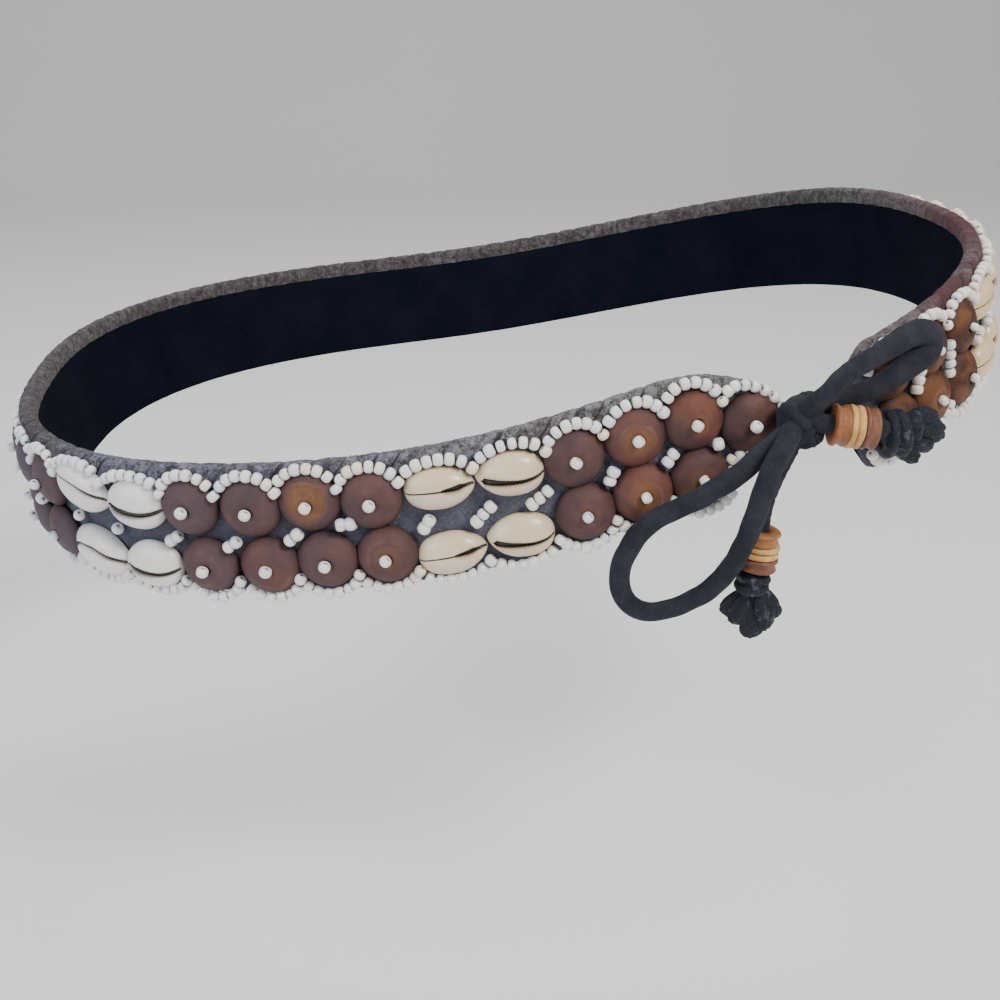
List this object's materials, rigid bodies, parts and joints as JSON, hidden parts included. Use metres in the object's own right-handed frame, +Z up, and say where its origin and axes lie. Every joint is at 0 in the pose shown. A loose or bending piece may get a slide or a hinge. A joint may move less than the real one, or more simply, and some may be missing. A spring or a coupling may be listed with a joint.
{
  "type": "shell and bead belt",
  "caption": "Waist belt of cowrie shells and domed wooden discs sewn on a cloth band, tied at the front with a soft cord bow.",
  "frame": {"origin": "Middle of the waist loop, on the axis of the waist, at the band's mid height.", "axes": "+X is the wearer's left, along the loop's longest width; +Y is towards the wearer's back, so the bow is on the -Y side; +Z is up. The loop sits higher on its +X side."},
  "size_m": [0.2965, 0.2425, 0.0907],
  "materials": {
    "band_cloth": "woven blue-grey cloth with a whip-stitched grey yarn margin",
    "lining_cloth": "dark navy lining cloth",
    "brown_wood": "dark purple-brown wood with rubbed tan patches",
    "tan_wood": "bright tan wood",
    "cowrie_shell": "glossy cream natural shell",
    "black_cord": "soft black velvet cord"
  },
  "bodies": {
    "root": {"band": "band_cloth", "lining": "lining_cloth", "disc_panel_1": "brown_wood", "disc_panel_2": "brown_wood", "disc_panel_3": "brown_wood", "disc_panel_4": "brown_wood", "disc_panel_5": "brown_wood", "disc_panel_6": "brown_wood", "disc_panel_7": "brown_wood", "disc_panel_8": "brown_wood", "disc_panel_9": "brown_wood", "cowrie_1": "cowrie_shell", "cowrie_2": "cowrie_shell", "cowrie_3": "cowrie_shell", "cowrie_4": "cowrie_shell", "cowrie_5": "cowrie_shell", "cowrie_6": "cowrie_shell", "cowrie_7": "cowrie_shell", "cowrie_8": "cowrie_shell", "cowrie_9": "cowrie_shell", "cowrie_10": "cowrie_shell", "cowrie_11": "cowrie_shell", "cowrie_12": "cowrie_shell", "cowrie_13": "cowrie_shell", "cowrie_14": "cowrie_shell", "cowrie_15": "cowrie_shell", "cowrie_16": "cowrie_shell", "cowrie_17": "cowrie_shell", "cowrie_18": "cowrie_shell", "cowrie_19": "cowrie_shell", "cowrie_20": "cowrie_shell", "cowrie_21": "cowrie_shell", "cowrie_22": "cowrie_shell", "cowrie_23": "cowrie_shell", "cowrie_24": "cowrie_shell", "cowrie_25": "cowrie_shell", "cowrie_26": "cowrie_shell", "cowrie_27": "cowrie_shell", "cowrie_28": "cowrie_shell", "cowrie_29": "cowrie_shell", "cowrie_30": "cowrie_shell", "cowrie_31": "cowrie_shell", "cowrie_32": "cowrie_shell", "tie_loop_lower": "black_cord", "tie_loop_upper": "black_cord", "tie_tail_lower": "black_cord", "tie_tail_right": "black_cord", "tie_knot": "black_cord", "toggle_lower_1": "brown_wood", "toggle_lower_2": "tan_wood", "toggle_lower_3": "brown_wood", "toggle_right_1": "brown_wood", "toggle_right_2": "tan_wood", "toggle_right_3": "brown_wood", "tail_knot_lower": "black_cord", "tail_knot_right": "black_cord"}
  },
  "joints": []
}
